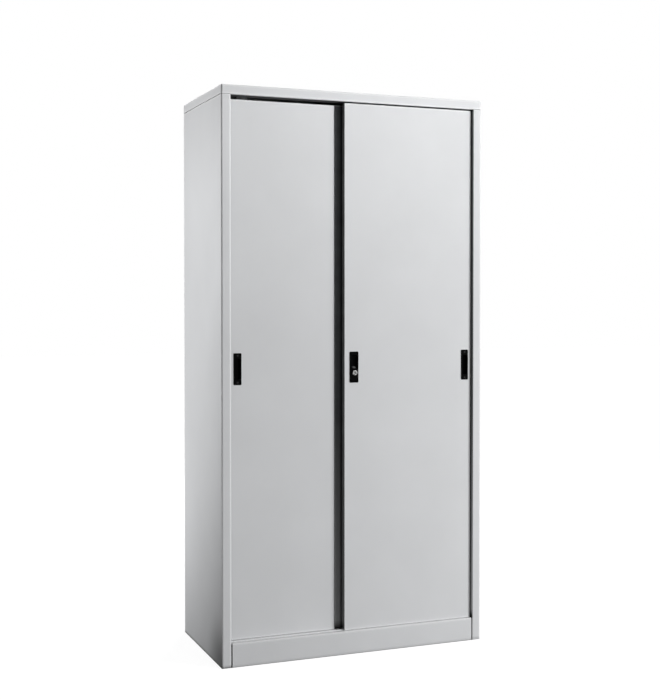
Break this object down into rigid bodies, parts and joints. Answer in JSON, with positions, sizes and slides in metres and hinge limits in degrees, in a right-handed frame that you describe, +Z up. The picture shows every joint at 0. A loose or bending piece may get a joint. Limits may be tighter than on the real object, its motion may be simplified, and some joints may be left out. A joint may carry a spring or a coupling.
{
  "type": "sliding door cabinet",
  "caption": "Tall sheet-steel cupboard with overlapping sliding doors on rollers, recessed pulls, a cam lock and adjustable shelves inside.",
  "frame": {"origin": "centre of the base on the floor, under the middle of the whole box", "axes": "+Z up, the doors look along -Y, +X to the right of someone who faces them"},
  "size_m": [0.915, 0.457, 1.83],
  "materials": {
    "grey_paint": "fine powder coat, satin",
    "charcoal_rubber": "matt",
    "charcoal_track": "matt",
    "black_plastic": "fine moulded texture",
    "black_screw": "blackened",
    "lock_chrome": "polished",
    "zinc_steel": "zinc plated",
    "nylon": "moulded"
  },
  "bodies": {
    "cabinet": {"side_panel_left": "grey_paint", "side_panel_right": "grey_paint", "top_panel": "grey_paint", "back_panel": "grey_paint", "back_panel_screws": "zinc_steel", "top_panel_screws": "zinc_steel", "plinth": "grey_paint", "floor_pan": "grey_paint", "rear_base_rail": "grey_paint", "bottom_rail_front": "grey_paint", "bottom_rail_rear": "grey_paint", "top_track": "charcoal_track", "post_buffer_left": "charcoal_rubber", "post_buffer_right": "charcoal_rubber", "shelf_upright_left_front": "grey_paint", "shelf_upright_right_front": "grey_paint", "shelf_upright_left_rear": "grey_paint", "shelf_upright_right_rear": "grey_paint", "shelf_lower": "grey_paint", "shelf_middle": "grey_paint", "shelf_upper": "grey_paint", "shelf_clips": "zinc_steel"},
    "front_door": {"front_door_bracket_left": "zinc_steel", "front_door_bracket_right": "zinc_steel", "front_door_axle_left": "zinc_steel", "front_door_axle_right": "zinc_steel", "front_door_guide_left": "black_plastic", "front_door_guide_right": "black_plastic", "front_door_bracket_rivets": "zinc_steel", "front_door_stiffener": "grey_paint", "front_door_pan": "grey_paint", "front_door_pull": "black_plastic", "front_door_pull_screws": "black_screw", "front_door_edge_seal": "charcoal_rubber", "lock_pull": "black_plastic", "lock_barrel": "lock_chrome", "lock_nut": "zinc_steel"},
    "rear_door": {"rear_door_bracket_left": "zinc_steel", "rear_door_bracket_right": "zinc_steel", "rear_door_axle_left": "zinc_steel", "rear_door_axle_right": "zinc_steel", "rear_door_guide_left": "black_plastic", "rear_door_guide_right": "black_plastic", "rear_door_bracket_rivets": "zinc_steel", "rear_door_stiffener": "grey_paint", "rear_door_pan": "grey_paint", "rear_door_pull": "black_plastic", "rear_door_pull_screws": "black_screw", "rear_door_overlap_seal": "charcoal_rubber", "lock_striker": "zinc_steel", "striker_rivets": "zinc_steel"},
    "front_roller_left": {"front_door_roller_left": "nylon"},
    "front_roller_right": {"front_door_roller_right": "nylon"},
    "rear_roller_left": {"rear_door_roller_left": "nylon"},
    "rear_roller_right": {"rear_door_roller_right": "nylon"},
    "lock": {"lock_plug": "lock_chrome", "lock_cam": "zinc_steel", "cam_screw": "zinc_steel"}
  },
  "joints": [
    {"name": "front_door_slide", "type": "slide", "parent": "cabinet", "child": "front_door", "axis": [1, 0, 0], "range_m": [-0.3818, 0]},
    {"name": "rear_door_slide", "type": "slide", "parent": "cabinet", "child": "rear_door", "axis": [1, 0, 0], "range_m": [0, 0.3818]},
    {"name": "lock_turn", "type": "hinge", "parent": "front_door", "child": "lock", "pos_m": [-0.0045, -0.2273, 0.9202], "axis": [0, -1, 0], "range_deg": [0, 90]},
    {"name": "front_roller_left_spin", "type": "hinge", "parent": "front_door", "child": "front_roller_left", "pos_m": [0.021, -0.2095, 0.0888], "axis": [0, 1, 0], "range_deg": [-2320, 0]},
    {"name": "front_roller_right_spin", "type": "hinge", "parent": "front_door", "child": "front_roller_right", "pos_m": [0.3623, -0.2095, 0.0888], "axis": [0, 1, 0], "range_deg": [-2320, 0]},
    {"name": "rear_roller_left_spin", "type": "hinge", "parent": "rear_door", "child": "rear_roller_left", "pos_m": [-0.3623, -0.1815, 0.0888], "axis": [0, 1, 0], "range_deg": [0, 2320]},
    {"name": "rear_roller_right_spin", "type": "hinge", "parent": "rear_door", "child": "rear_roller_right", "pos_m": [-0.021, -0.1815, 0.0888], "axis": [0, 1, 0], "range_deg": [0, 2320]}
  ],
  "couplings": [
    {"joint": "front_roller_left_spin", "follows": "front_door_slide", "rad_per_m": 105.26},
    {"joint": "front_roller_right_spin", "follows": "front_door_slide", "rad_per_m": 105.26},
    {"joint": "rear_roller_left_spin", "follows": "rear_door_slide", "rad_per_m": 105.26},
    {"joint": "rear_roller_right_spin", "follows": "rear_door_slide", "rad_per_m": 105.26}
  ]
}
